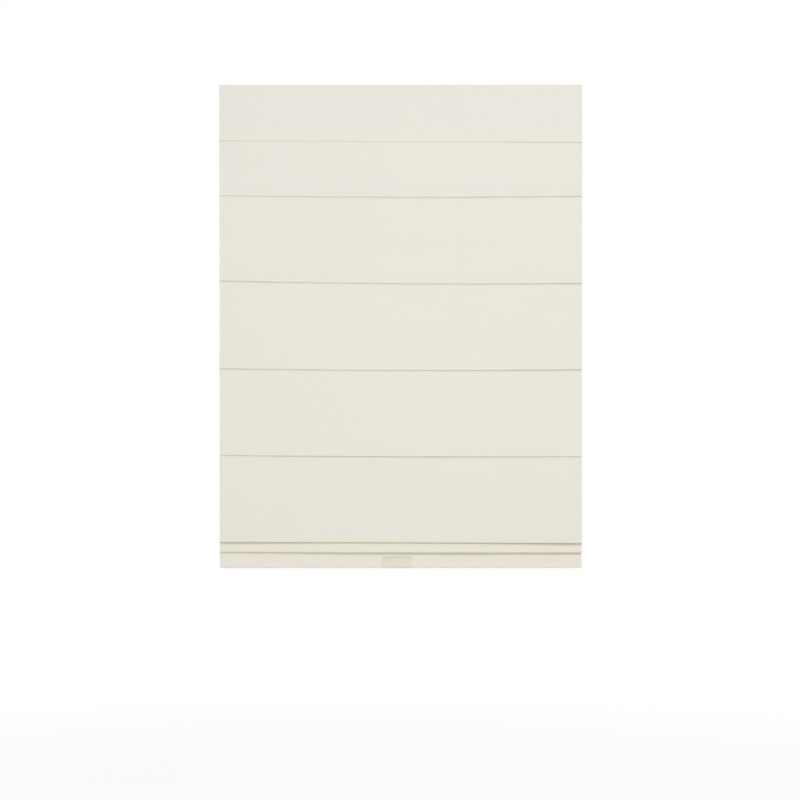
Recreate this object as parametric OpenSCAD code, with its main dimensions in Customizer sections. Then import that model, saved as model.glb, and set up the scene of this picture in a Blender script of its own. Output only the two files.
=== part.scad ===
// Cordless roman blind: one folded cloth on ribs, raised by a geared spring motor in the head rail.
// X runs along the blind, the front faces -Y, and Z = 0 is the mounting plane above the head rail.

/* [Cloth] */
// Width of the cloth
blind_w = 914; // [700:1:1500]
// Mounting plane down to the first crease
top_drop = 282; // [240:1:340]
// Length of cloth from a crease to the rib after it
fold_up = 96; // [80:0.5:125]
// How far each gathered lip shows below the one in front
lip_drop = 26.5; // [20:0.5:36]
// How far the hem shows below the last lip
hem_drop = 38; // [36:0.5:50]
// Thickness of the cloth
cloth_t = 0.8; // [0.5:0.1:1]
// Spacing of the cloth layers in a hanging crease
tuck_pitch = 1.1; // [1.1:0.1:1.6]
// Depth of the tuck behind a hanging crease
tuck_depth = 8; // [5:0.5:14]
// Spacing of the cloth layers in the gathered folds
gather_pitch = 2.4; // [1.8:0.1:3]

/* [Valance] */
// Mounting plane down to the lower edge of the valance
valance_h = 143.5; // [100:0.5:190]
// Gap between the valance and the cloth behind it
valance_gap = 0.4; // [0.3:0.1:1]
// How far the lower edge of the valance stands forward
valance_lean = 1.8; // [1.5:0.1:4]
// Height of the turned hem of the valance
valance_hem = 25; // [12:1:40]

/* [Head rail] */
// Depth of the head rail from front to back
rail_d = 44; // [43:0.5:56]
// Height of the head rail
rail_h = 30; // [30:0.5:40]
// Wall of the head rail
rail_wall = 1.2; // [0.8:0.1:1.4]
// Width of the inward lips along the top of the head rail
rail_lip = 6; // [5:0.5:7]
// Thickness of the plate of an end cap
cap_t = 3; // [2:0.5:5]
// Length of the plug of an end cap
cap_plug = 12; // [8:1:20]
// How far the cloth runs past each end cap
cloth_over = 2; // [0:0.5:6]

/* [Brackets] */
// Thickness of the bracket sheet
bracket_t = 1.6; // [1.2:0.1:2]
// Width of a bracket
bracket_w = 28; // [20:1:40]
// Width of the release tongue at the back of a bracket
tongue_w = 16; // [10:1:18]
// End of the head rail to the middle of a bracket
bracket_inset = 72; // [50:1:90]
// Spacing of the two screw holes of a bracket
hole_pitch = 18; // [14:0.5:20]
// Diameter of a screw hole
hole_d = 4.5; // [3.5:0.1:5.5]

/* [Tapes] */
// Thickness of each half of the hook and loop tape
tape_t = 1; // [0.8:0.1:1.4]
// Height of the tape that holds the valance
valance_tape_h = 9; // [7:0.5:10]
// Height of the tape that holds the cloth
cloth_tape_h = 13; // [10:0.5:14]

/* [Motor] */
// Teeth on each gear
gear_teeth = 20; // [18:1:20]
// Module of the gears
gear_module = 1.6; // [1.5:0.05:1.6]
// Thickness of the gears
gear_t = 4; // [3:0.5:5]
// Backlash between meshed teeth
backlash = 0.3; // [0.2:0.05:0.4]
// Radius of the barrel of a cord spool
spool_r = 13; // [12:0.1:13]
// Radius of the barrel of a spring drum
drum_r = 8; // [6:0.5:9]
// Height of the barrels
barrel_h = 12.5; // [12:0.5:13]
// Diameter of the shafts
shaft_d = 4; // [3:0.1:5]
// Wall of the motor case
case_wall = 1.5; // [1.2:0.1:1.8]
// Height of the spring strip
spring_h = 10; // [8:0.5:11]
// Thickness of the spring strip
spring_t = 0.6; // [0.4:0.1:0.8]
// Depth of the turns wound on the storage drum
storage_turns = 4; // [2:0.1:4.5]
// Depth of the turns wound on the output drum
output_turns = 1.8; // [1:0.1:3]

/* [Lift cords] */
// Edge of the cloth to a lift cord
cord_inset = 157; // [140:1:190]
// Diameter of a lift cord
cord_d = 1.4; // [1:0.1:1.6]
// Height of the turns left on a spool
winding_h = 8.4; // [6:0.2:9]
// Radius of the bottom of the pulley groove
pulley_groove_r = 6; // [5:0.5:6.5]
// Width of a pulley
pulley_w = 4; // [3:0.5:5]
// Diameter of a pulley pin
pulley_pin_d = 3; // [2.5:0.1:3.5]

/* [Ribs and rings] */
// Diameter of a rib
rib_d = 4; // [3:0.1:5]
// How far each rib stops short of the edge of the cloth
rib_short = 4; // [1:0.5:12]
// Radius of a cord ring, at the middle of its wire
ring_r = 4.5; // [3.5:0.1:5.5]
// Diameter of the wire of a cord ring
ring_wire_d = 1.8; // [1.4:0.1:2.2]

/* [Bottom rail] */
// Depth of the bottom rail
foot_d = 6; // [5:0.2:8]
// Height of the bottom rail
foot_h = 30; // [24:0.5:31]
// Wall of the bottom rail
foot_wall = 1.2; // [0.8:0.1:1.6]
// Thickness of the plate of a bottom rail cap
foot_cap_t = 2; // [1:0.5:3]

/* [Handle] */
// Width of the pull tab
handle_w = 74; // [40:1:110]
// Height of the pull tab
handle_h = 29.5; // [20:0.5:32]
// Thickness of the pull tab
handle_t = 1; // [0.8:0.1:2]
// Middle of the pull tab, from the middle of the blind
handle_x = -9; // [-200:1:200]
// Height of the thick band along the top of the pull tab
handle_band = 5.6; // [3:0.2:8]

/* [Hidden] */
$fn = 48;
SIDES = [["left", -1], ["right", 1]];
HANGING = 4;
FOLDS = 6;
SIDE_NODES = [
    "headrail_cap", "bracket", "spool", "spool_pin", "guide", "pulley", "pulley_pin",
    "lift_cord", "bottom_cap", "cord_anchor"
];

// Clearances
seat = 0.2;
fit = 0.3;
turn = 0.05;
overlap = 0.01;

// Head rail
rail_top = -(bracket_t + fit);
rail_floor = rail_top - rail_h + rail_wall;
rail_l = blind_w - 2 * (cap_t + cloth_over);
rail_corner = 2;
bracket_x = rail_l / 2 - bracket_inset;
bracket_corner = 3;

// Cloth: places of the layers, the creases and the ribs
cloth_y = -(rail_d / 2 + 2 * tape_t + cloth_t / 2);
fold_down = fold_up + lip_drop;
function pitch_of(k) = k <= HANGING ? tuck_pitch : gather_pitch;
function front_y(k) = k == 1 ? cloth_y : front_y(k - 1) + 2 * pitch_of(k - 1);
function wall_y(k) = front_y(k) + 2 * pitch_of(k);
function crease_z(k) = k == 1 ? -top_drop : rib_z(k - 1) - fold_down;
function rib_z(k) = crease_z(k) + (k <= HANGING ? -fold_up : fold_up);
hem_z = crease_z(FOLDS) - hem_drop;
hem_pitch = foot_d + 2 * fit + cloth_t;
hem_y = wall_y(FOLDS) + hem_pitch / 2;
hem_back = hem_y + hem_pitch / 2 + cloth_t / 2;
foot_z = hem_z + cloth_t + fit;
foot_corner = 1.6;
hem_corner_z = foot_z + foot_corner;
hem_corner_r = foot_corner + fit + cloth_t / 2;
hem_top = foot_z + foot_h + fit;

// Rib pockets and rings
pocket_in = rib_d / 2 + fit;
pocket_r = pocket_in + cloth_t;
pocket_gap = 0.1;
function pocket_y(k) = wall_y(k) + cloth_t / 2 + pocket_gap + pocket_in;
ring_seat = 0.1;
function ring_y(k) = pocket_y(k) + pocket_r + ring_seat + ring_wire_d / 2 + ring_r;
cord_x = blind_w / 2 - cord_inset;

// Tapes
tape_margin = 2.5;
tape_end = 12;
valance_tape_z = rail_top - tape_margin - valance_tape_h;
cloth_tape_z = rail_top - rail_h + 1;
cloth_top = cloth_tape_z + cloth_tape_h + 1;

// Motor
gear_r = gear_module * gear_teeth / 2;
gear_tip = gear_r + gear_module;
gear_root = gear_r - 1.25 * gear_module;
pressure = 20;
gear_base = gear_r * cos(pressure);
shaft_pitch = 2 * gear_r;
case_room = 1;
boss_h = 0.6;
flange_t = 1;
flange_r = gear_root + 1.5;
case_z = rail_floor + seat;
gear_z = case_z + case_wall + boss_h + fit;
barrel_z = gear_z + gear_t;
flange_z = barrel_z + barrel_h;
cover_z = flange_z + flange_t + fit + boss_h;
case_l = 3 * shaft_pitch + 2 * (gear_tip + case_room + case_wall);
case_d = 2 * (gear_tip + case_room + case_wall);
case_corner = 2;
hub_d = shaft_d + 4;
barrel_wall = 1.6;
web_t = 1.4;

// Cover of the motor: its windows, and the snap hooks that hold it in the case
window_margin = 5;
clip_w = 8;
clip_t = 1.2;
clip_h = 7;
hook_out = 0.8;
hook_h = 1.6;
window_w = shaft_pitch - hub_d - 2 * window_margin;
window_d = case_d - 2 * (case_wall + seat + clip_t + window_margin);
window_corner = 2;

// Lift cords: they leave the spools and run along the rail at the height of the pulleys' tops
cord_gap = fit;
wind_r = spool_r + cord_gap + cord_d / 2;
pulley_turn_r = pulley_groove_r + cord_gap + cord_d / 2;
pulley_rim_r = pulley_groove_r + 2;
run_z = flange_z - cord_gap - cord_d / 2 - 0.5;
pulley_z = run_z - pulley_turn_r;
pulley_x = cord_x - pulley_turn_r;
exit_r = 4;

// Guides
guide_wall = 1.6;
guide_floor = 1;
guide_gap = 0.4;
guide_corner = 2;
guide_w = pulley_w + 2 * (guide_gap + guide_wall);
guide_l = 2 * (pulley_rim_r + guide_gap + guide_wall);
nozzle_wall = 1.2;
nozzle_h = 2;

// Handle and anchors
handle_gap = seat;
handle_back = 12;
handle_corner = 2.5;
handle_rise = 0.6;
anchor_r = 7;
anchor_t = 2.5;
anchor_chamfer = 0.8;
anchor_h = 12;
anchor_z = foot_z + 15;
socket_r = cord_d / 2 + 1.7;
socket_y = hem_back + anchor_t + cord_d / 2;

CLOTH = "#ece9de";
METAL = "#b9bcc0";
STEEL = "#8f9499";
PLASTIC = "#f1f0ec";
TAPE = "#dcd9cf";
CLEAR = "#d9dccb";

// Plane geometry: a ribbon of even thickness along a line of points
function unit(v) = v / norm(v);
function left_of(v) = [-v[1], v[0]];
function side_at(p, i) = left_of(unit(p[i + 1] - p[i]));
function mitre(a, b) = unit(a + b) / (unit(a + b) * a);
function corner(p, i) =
    i == 0 ? side_at(p, 0) :
    i == len(p) - 1 ? side_at(p, i - 1) :
    mitre(side_at(p, i - 1), side_at(p, i));
function ribbon(p, t) = concat(
    [for (i = [0:len(p) - 1]) p[i] + corner(p, i) * t / 2],
    [for (i = [len(p) - 1:-1:0]) p[i] - corner(p, i) * t / 2]
);

// Half circle from [y, z] to [y + dy, z], over the top (up = 1) or round the foot (up = -1)
function half_turn(y, z, dy, up, steps = 6) = [
    for (i = [0:steps])
        let (a = 180 * i / steps)
        [y + dy / 2 * (1 - cos(a)), z + up * abs(dy) / 2 * sin(a)]
];

// Round the bottom rail from [y, z] to [y + dy, z], with a corner of radius r on each side
function foot_turn(y, z, dy, r, steps = 4) = concat(
    [for (i = [0:steps]) let (a = 90 * i / steps) [y + r * (1 - cos(a)), z - r * sin(a)]],
    [for (i = [steps:-1:0]) let (a = 90 * i / steps) [y + dy - r * (1 - cos(a)), z - r * sin(a)]]
);

// Line of the cloth through its folds, from its top edge to the back of the hem
function crease_turn(k) =
    half_turn(front_y(k), crease_z(k) + (pitch_of(k) + cloth_t) / 2, pitch_of(k), -1);
function back_turn(k) = half_turn(
    front_y(k) + pitch_of(k), k <= HANGING ? crease_z(k) + tuck_depth : rib_z(k), pitch_of(k), 1
);
cloth_line = concat(
    [[cloth_y, cloth_top]],
    [for (k = [1:FOLDS]) each concat(crease_turn(k), back_turn(k))],
    foot_turn(wall_y(FOLDS), hem_corner_z, hem_pitch, hem_corner_r),
    [[hem_back - cloth_t / 2, hem_top], [wall_y(FOLDS) + cloth_t + fit, hem_top + hem_pitch]]
);

// Line of the valance, from the back of its top hem to the end of its foot hem
valance_y = cloth_y - cloth_t - valance_gap;
valance_turn = valance_y - cloth_y;
valance_top = rail_top + cloth_t - (cloth_t - valance_turn) / 2;
valance_foot = -valance_h + (cloth_t - valance_turn) / 2;
valance_line = concat(
    [[cloth_y, valance_tape_z]],
    half_turn(cloth_y, valance_top, valance_turn, 1),
    half_turn(valance_y - valance_lean, valance_foot, -valance_turn, -1),
    [[cloth_y - valance_lean * (1 - valance_hem / valance_h), valance_foot + valance_hem]]
);

// Line of a bracket: front hook, plate, back spring hook and its release tongue
bracket_lip = rail_top - rail_wall - fit - bracket_t / 2;
bracket_in = rail_d / 2 - rail_lip - fit - bracket_t / 2;
bracket_out = rail_d / 2 - rail_wall - 1.5;
bracket_line = [
    [-bracket_out, bracket_lip], [-bracket_in, bracket_lip], [-bracket_in, -bracket_t / 2],
    [bracket_in, -bracket_t / 2], [bracket_in, bracket_lip], [bracket_out - 1, bracket_lip],
    [bracket_out, bracket_lip - 3]
];

// Outline of an involute gear
function tilt(r) = let (a = acos(gear_base / r)) tan(a) * 180 / PI - a;
function flank(r) = (90 - 90 * backlash / (PI * gear_module)) / gear_teeth + tilt(gear_r) - tilt(r);
function polar(r, a) = r * [cos(a), sin(a)];
gear_radii = [for (i = [0:3]) gear_base + (gear_tip - gear_base) * i / 3];
gear_line = [
    for (t = [0:gear_teeth - 1])
        let (mid = 360 * t / gear_teeth)
        each concat(
            [polar(gear_root, mid - flank(gear_base))],
            [for (r = gear_radii) polar(r, mid - flank(r))],
            [for (i = [3:-1:0]) polar(gear_radii[i], mid + flank(gear_radii[i]))],
            [polar(gear_root, mid + flank(gear_base))]
        )
];

// Route of a lift cord on the right-hand side
cord_route = concat(
    [[1.5 * shaft_pitch, -wind_r, run_z]],
    [
        for (i = [0:6])
            let (a = 90 - 15 * i)
            [pulley_x + pulley_turn_r * cos(a), -wind_r, pulley_z + pulley_turn_r * sin(a)]
    ],
    [[cord_x, -wind_r, rail_floor - rail_wall - nozzle_h]],
    [for (k = [1:FOLDS]) [cord_x, ring_y(k), rib_z(k)]],
    [[cord_x, socket_y, anchor_z + anchor_h], [cord_x, socket_y, anchor_z]]
);

// Tube of eight sides along a route
TUBE_SIDES = 8;
function heading(p, i) = unit(p[min(i + 1, len(p) - 1)] - p[max(i - 1, 0)]);
function tube_ring(p, i, r) =
    let (d = heading(p, i), u = unit(cross(d, [0, 1, 0])), v = cross(d, u))
    [
        for (s = [0:TUBE_SIDES - 1])
            let (a = 360 * s / TUBE_SIDES)
            p[i] + r * (cos(a) * u + sin(a) * v)
    ];
module tube(p, r) {
    n = TUBE_SIDES;
    last = (len(p) - 1) * n;
    polyhedron(
        points = [for (i = [0:len(p) - 1]) each tube_ring(p, i, r)],
        faces = concat(
            [[for (s = [0:n - 1]) s]],
            [for (i = [0:len(p) - 2]) for (s = [0:n - 1])
                [i * n + s, (i + 1) * n + s, (i + 1) * n + (s + 1) % n, i * n + (s + 1) % n]],
            [[for (s = [n - 1:-1:0]) last + s]]
        )
    );
}

module along_x(l) {
    translate([-l / 2, 0, 0]) rotate([90, 0, 90]) linear_extrude(l) children();
}

module along_y(from, l) {
    translate([0, from + l, 0]) rotate([90, 0, 0]) linear_extrude(l) children();
}

module rounded(w, h, r) {
    translate([r, 0]) square([w - 2 * r, h]);
    translate([0, r]) square([w, h - 2 * r]);
    for (x = [r, w - r], y = [r, h - r]) translate([x, y]) circle(r);
}

module to_side(side) {
    mirror([side < 0 ? 1 : 0, 0, 0]) children();
}

// Head rail and what closes and holds it

module rail_section() {
    inner_d = rail_d - 2 * rail_wall;
    difference() {
        translate([-rail_d / 2, rail_top - rail_h]) rounded(rail_d, rail_h, rail_corner);
        translate([-inner_d / 2, rail_floor]) square([inner_d, rail_h - 2 * rail_wall]);
        translate([-rail_d / 2 + rail_lip, rail_floor]) square([rail_d - 2 * rail_lip, rail_h]);
    }
}

module headrail() {
    color(METAL) difference() {
        along_x(rail_l) rail_section();
        for (s = [-1, 1])
            translate([s * cord_x, -wind_r, rail_floor - 2 * rail_wall])
                cylinder(r = exit_r, h = 3 * rail_wall);
    }
}

module headrail_cap(side) {
    plug_d = rail_d - 2 * (rail_wall + fit);
    plug_h = rail_h - 2 * (rail_wall + fit);
    plug_wall = 1.6;
    step = 0.8;
    color(PLASTIC) to_side(side) {
        translate([rail_l / 2 + (cap_t - step) / 2, 0, 0]) along_x(cap_t - step)
            translate([-rail_d / 2, rail_top - rail_h]) rounded(rail_d, rail_h, rail_corner);
        translate([rail_l / 2 + cap_t / 2, 0, 0]) along_x(cap_t)
            translate([-rail_d / 2 + step, rail_top - rail_h + step])
                rounded(rail_d - 2 * step, rail_h - 2 * step, rail_corner - step / 2);
        translate([rail_l / 2 - cap_plug / 2 + overlap, 0, 0]) along_x(cap_plug) difference() {
            translate([-plug_d / 2, rail_floor + fit]) square([plug_d, plug_h]);
            translate([-plug_d / 2 + plug_wall, rail_floor + fit + plug_wall])
                square([plug_d - 2 * plug_wall, plug_h]);
        }
    }
}

// Outline of a bracket from above: round corners, and a narrower tongue at the back
module bracket_plan() {
    front = bracket_out + overlap;
    back = bracket_in + bracket_t;
    tip = bracket_out + bracket_t / 2 + overlap;
    translate([-bracket_w / 2, -front]) rounded(bracket_w, front + back, bracket_corner);
    translate([-tongue_w / 2, 0]) rounded(tongue_w, tip, bracket_corner);
}

module bracket(side) {
    color(STEEL) to_side(side) translate([bracket_x, 0, 0]) difference() {
        intersection() {
            along_x(bracket_w) polygon(ribbon(bracket_line, bracket_t));
            translate([0, 0, -rail_h]) linear_extrude(2 * rail_h) bracket_plan();
        }
        for (s = [-1, 1])
            translate([0, s * hole_pitch / 2, -2 * bracket_t]) cylinder(d = hole_d, h = 3 * bracket_t);
    }
}

module tape(layer, z, h) {
    color(TAPE) along_x(rail_l - 2 * tape_end)
        translate([-rail_d / 2 - (layer + 1) * tape_t, z]) square([tape_t, h]);
}

// Cloth

module pocket_rods(r, l) {
    for (k = [1:FOLDS]) along_x(l) translate([pocket_y(k), rib_z(k)]) circle(r);
}

module shade_fabric() {
    color(CLOTH) difference() {
        union() {
            along_x(blind_w) polygon(ribbon(cloth_line, cloth_t));
            pocket_rods(pocket_r, blind_w);
        }
        pocket_rods(pocket_in, 2 * blind_w);
    }
}

module valance() {
    color(CLOTH) along_x(blind_w) polygon(ribbon(valance_line, cloth_t));
}

module rib(k) {
    color(PLASTIC) along_x(blind_w - 2 * rib_short) translate([pocket_y(k), rib_z(k)]) circle(d = rib_d);
}

module ring(side, k) {
    color(PLASTIC) translate([side * cord_x, ring_y(k), rib_z(k)])
        rotate_extrude() translate([ring_r, 0]) circle(d = ring_wire_d, $fn = 24);
}

// Spring motor: four meshed gears in a row, a cord spool at each end and the spring drums between

module at_spindle(place) {
    translate([place * shaft_pitch, 0, 0]) children();
}

module spindles() {
    for (place = [-1.5:1:1.5]) at_spindle(place) children();
}

// Moulded hollow between the hub and the wall of a barrel, crossed by four webs
module barrel_hollow(barrel_r) {
    linear_extrude(barrel_h + 2 * flange_t) difference() {
        circle(barrel_r - barrel_wall);
        circle(d = hub_d);
        for (a = [0, 90]) rotate(a) square([2 * barrel_r, web_t], center = true);
    }
}

// Teeth of one gear stand in the gaps of the next
module wheel(place, barrel_r, tone) {
    turned = (place + 1.5) % 2 * 180 / gear_teeth;
    color(tone) at_spindle(place) difference() {
        union() {
            translate([0, 0, gear_z]) rotate(turned) linear_extrude(gear_t) polygon(gear_line);
            translate([0, 0, barrel_z - overlap]) cylinder(r = barrel_r, h = barrel_h + 2 * overlap);
            translate([0, 0, flange_z]) cylinder(r = flange_r, h = flange_t);
        }
        translate([0, 0, barrel_z]) barrel_hollow(barrel_r);
        translate([0, 0, case_z]) cylinder(d = shaft_d + 2 * turn, h = rail_h);
    }
}

module shaft(place) {
    color(STEEL) at_spindle(place) translate([0, 0, case_z + seat])
        cylinder(d = shaft_d, h = cover_z + case_wall - case_z - 2 * seat);
}

module shaft_boss(z) {
    translate([0, 0, z]) cylinder(d = hub_d, h = boss_h + overlap);
}

// Places of the snap hooks, between the gears: Y = 0 is the inside of the wall, Z = 0 its top
module at_clips() {
    for (place = [-1:1], side = [0, 1])
        at_spindle(place) mirror([0, side, 0]) translate([0, case_d / 2 - case_wall, cover_z]) children();
}

module case_block(z, h) {
    translate([-case_l / 2, -case_d / 2, z]) linear_extrude(h) rounded(case_l, case_d, case_corner);
}

module motor_base() {
    slot_w = cord_d + 2;
    inner = [case_l - 2 * case_wall, case_d - 2 * case_wall];
    color(PLASTIC) difference() {
        union() {
            difference() {
                case_block(case_z, cover_z - case_z);
                translate([-inner[0] / 2, -inner[1] / 2, case_z + case_wall])
                    cube([inner[0], inner[1], rail_h]);
            }
            spindles() shaft_boss(case_z + case_wall - overlap);
        }
        translate([-case_l, -wind_r - slot_w / 2, run_z - slot_w / 2]) cube([2 * case_l, slot_w, rail_h]);
        spindles() translate([0, 0, case_z - case_wall])
            cylinder(d = shaft_d + 2 * turn, h = 4 * case_wall);
        at_clips() translate([-clip_w / 2 - fit, -overlap, -clip_h - fit])
            cube([clip_w + 2 * fit, case_wall + 2 * overlap, hook_h + 2 * fit]);
    }
}

module motor_cover() {
    rim = 0.8;
    rim_h = boss_h + fit;
    outer = [case_l - 2 * (case_wall + seat), case_d - 2 * (case_wall + seat)];
    color(PLASTIC) difference() {
        union() {
            case_block(cover_z, case_wall);
            translate([-outer[0] / 2, -outer[1] / 2, cover_z - rim_h])
                difference() {
                    cube([outer[0], outer[1], rim_h + overlap]);
                    translate([rim, rim, -1]) cube([outer[0] - 2 * rim, outer[1] - 2 * rim, rim_h + 1]);
                }
            spindles() shaft_boss(cover_z - boss_h);
            spindles() shaft_boss(cover_z + case_wall - overlap);
            at_clips() along_x(clip_w) polygon([
                [-seat - clip_t, overlap], [-seat - clip_t, -clip_h], [-seat, -clip_h],
                [hook_out - seat, hook_h - clip_h], [-seat, hook_h - clip_h], [-seat, overlap]
            ]);
        }
        spindles() translate([0, 0, cover_z - case_wall])
            cylinder(d = shaft_d + 2 * turn, h = 4 * case_wall);
        for (place = [-1:1]) at_spindle(place) translate([-window_w / 2, -window_d / 2, cover_z - case_wall])
            linear_extrude(4 * case_wall) rounded(window_w, window_d, window_corner);
    }
}

// The strip leaves the storage drum's turns and bends back onto the output drum's
module power_spring() {
    store = drum_r + cord_gap + storage_turns;
    taken = drum_r + cord_gap + output_turns;
    reach = store + taken - spring_t;
    lean = acos(reach / shaft_pitch);
    span = sqrt(shaft_pitch * shaft_pitch - reach * reach);
    middle = shaft_pitch * (taken - spring_t / 2) / reach - shaft_pitch / 2;
    color(STEEL) translate([0, 0, barrel_z + (barrel_h - spring_h) / 2]) linear_extrude(spring_h) {
        difference() {
            union() {
                at_spindle(0.5) circle(store);
                at_spindle(-0.5) circle(taken);
                translate([middle, 0]) rotate(90 - lean) translate([
                    -span * (taken - spring_t / 2) / reach, -spring_t / 2
                ]) square([span, spring_t]);
            }
            for (place = [-0.5, 0.5]) at_spindle(place) circle(drum_r + cord_gap);
        }
    }
}

// Lift cords and what leads them

module guide(side) {
    foot = rail_floor + seat;
    eye_r = pulley_pin_d / 2 + guide_wall;
    color(PLASTIC) to_side(side) difference() {
        union() {
            translate([pulley_x - guide_l / 2, -wind_r - guide_w / 2, foot])
                linear_extrude(guide_floor) rounded(guide_l + exit_r, guide_w, guide_corner);
            for (y = [-guide_w / 2, guide_w / 2 - guide_wall])
                translate([pulley_x, 0, 0]) along_y(-wind_r + y, guide_wall) {
                    polygon([
                        [-guide_l / 3, foot], [guide_l / 3, foot], [eye_r, pulley_z], [-eye_r, pulley_z]
                    ]);
                    translate([0, pulley_z]) circle(eye_r);
                }
            translate([cord_x, -wind_r, rail_floor - rail_wall - nozzle_h])
                cylinder(r = exit_r - seat, h = nozzle_h + rail_wall + seat + overlap);
        }
        translate([cord_x, -wind_r, rail_floor - rail_h])
            cylinder(r = exit_r - seat - nozzle_wall, h = rail_h + seat + 2 * guide_floor);
        translate([pulley_x, -wind_r, pulley_z]) rotate([90, 0, 0])
            cylinder(d = pulley_pin_d + 2 * turn, h = 2 * guide_w, center = true);
    }
}

module pulley(side) {
    half = pulley_w / 2;
    rim = 0.4;
    color(PLASTIC) translate([side * pulley_x, -wind_r, pulley_z]) rotate([90, 0, 0])
        rotate_extrude() polygon([
            [pulley_pin_d / 2 + turn, -half], [pulley_rim_r, -half], [pulley_rim_r, rim - half],
            [pulley_groove_r, -cord_d / 2], [pulley_groove_r, cord_d / 2],
            [pulley_rim_r, half - rim], [pulley_rim_r, half], [pulley_pin_d / 2 + turn, half]
        ]);
}

module pulley_pin(side) {
    color(STEEL) translate([side * pulley_x, -wind_r, pulley_z]) rotate([90, 0, 0])
        cylinder(d = pulley_pin_d, h = guide_w, center = true);
}

module lift_cord(side) {
    color(CLOTH) to_side(side) {
        tube(cord_route, cord_d / 2);
        translate([1.5 * shaft_pitch, 0, run_z + cord_d / 2 - winding_h]) difference() {
            cylinder(r = wind_r + cord_d / 2, h = winding_h);
            translate([0, 0, -1]) cylinder(r = wind_r - cord_d / 2, h = winding_h + 2);
        }
    }
}

// Foot of the blind

foot_l = blind_w - 2 * (foot_cap_t + 1);

// Section of the bottom rail, drawn in from its outside
module foot_section(inset, corner) {
    translate([hem_y - foot_d / 2 + inset, foot_z + inset])
        rounded(foot_d - 2 * inset, foot_h - 2 * inset, corner);
}

module bottom_rail() {
    color(METAL) along_x(foot_l) difference() {
        foot_section(0, foot_corner);
        foot_section(foot_wall, 0.4);
    }
}

module bottom_cap(side) {
    plug = 10;
    color(PLASTIC) to_side(side) {
        translate([foot_l / 2 + foot_cap_t / 2, 0, 0]) along_x(foot_cap_t) foot_section(0, foot_corner);
        translate([foot_l / 2 - plug / 2 + overlap, 0, 0]) along_x(plug) foot_section(foot_wall + seat, 0.4);
    }
}

module cord_anchor(side) {
    color(PLASTIC) translate([side * cord_x, hem_back, anchor_z]) difference() {
        union() {
            rotate([-90, 0, 0]) {
                cylinder(r = anchor_r, h = anchor_t - anchor_chamfer);
                translate([0, 0, anchor_t - anchor_chamfer])
                    cylinder(r1 = anchor_r, r2 = anchor_r - anchor_chamfer, h = anchor_chamfer);
            }
            translate([0, socket_y - hem_back, -anchor_h / 2]) cylinder(r = socket_r, h = anchor_h);
        }
        translate([0, socket_y - hem_back, -fit]) cylinder(r = cord_d / 2 + fit, h = anchor_h);
    }
}

// A clip round the hem: front plate with a thick band along its top, turned under and up the back
module pull_handle() {
    off = cloth_t / 2 + handle_gap + handle_t / 2;
    half = hem_pitch / 2 + off;
    top = hem_z + handle_h;
    clip_line = concat(
        [[hem_y - half, top]],
        foot_turn(hem_y - half, hem_corner_z, 2 * half, hem_corner_r + off),
        [[hem_y + half, foot_z + handle_back]]
    );
    foot = hem_z - handle_gap - handle_t;
    color(CLEAR) translate([handle_x, 0, 0]) intersection() {
        union() {
            along_x(handle_w) polygon(ribbon(clip_line, handle_t));
            along_x(handle_w) translate([hem_y - half - handle_t / 2 - handle_rise, top - handle_band])
                square([handle_rise + overlap, handle_band]);
        }
        along_y(hem_y - 3 * half, 6 * half)
            translate([-handle_w / 2, foot]) rounded(handle_w, top - foot, handle_corner);
    }
}

headrail();
motor_base();
motor_cover();
power_spring();
shade_fabric();
valance();
tape(0, cloth_tape_z, cloth_tape_h);  // hook_tape_cloth
tape(1, cloth_tape_z, cloth_tape_h);  // loop_tape_cloth
tape(0, valance_tape_z, valance_tape_h);  // hook_tape_valance
tape(1, valance_tape_z, valance_tape_h);  // loop_tape_valance
wheel(-0.5, drum_r, METAL);  // output_drum
shaft(-0.5);  // output_pin
wheel(0.5, drum_r, METAL);  // storage_drum
shaft(0.5);  // storage_pin
bottom_rail();
pull_handle();
for (s = SIDES) {
    headrail_cap(s[1]);
    bracket(s[1]);
    wheel(1.5 * s[1], spool_r, PLASTIC);
    shaft(1.5 * s[1]);
    guide(s[1]);
    pulley(s[1]);
    pulley_pin(s[1]);
    lift_cord(s[1]);
    bottom_cap(s[1]);
    cord_anchor(s[1]);
    for (k = [1:FOLDS])
        ring(s[1], k);
}
for (k = [1:FOLDS])
    rib(k);
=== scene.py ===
"""Cordless roman blind: folded cloth, sewn details, lift cords, pull tab, finishes and a studio stage."""
import math
from collections import namedtuple

import bmesh
import bpy
from bpy.props import FloatProperty, FloatVectorProperty, IntProperty, PointerProperty
from mathutils import Matrix, Vector


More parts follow.
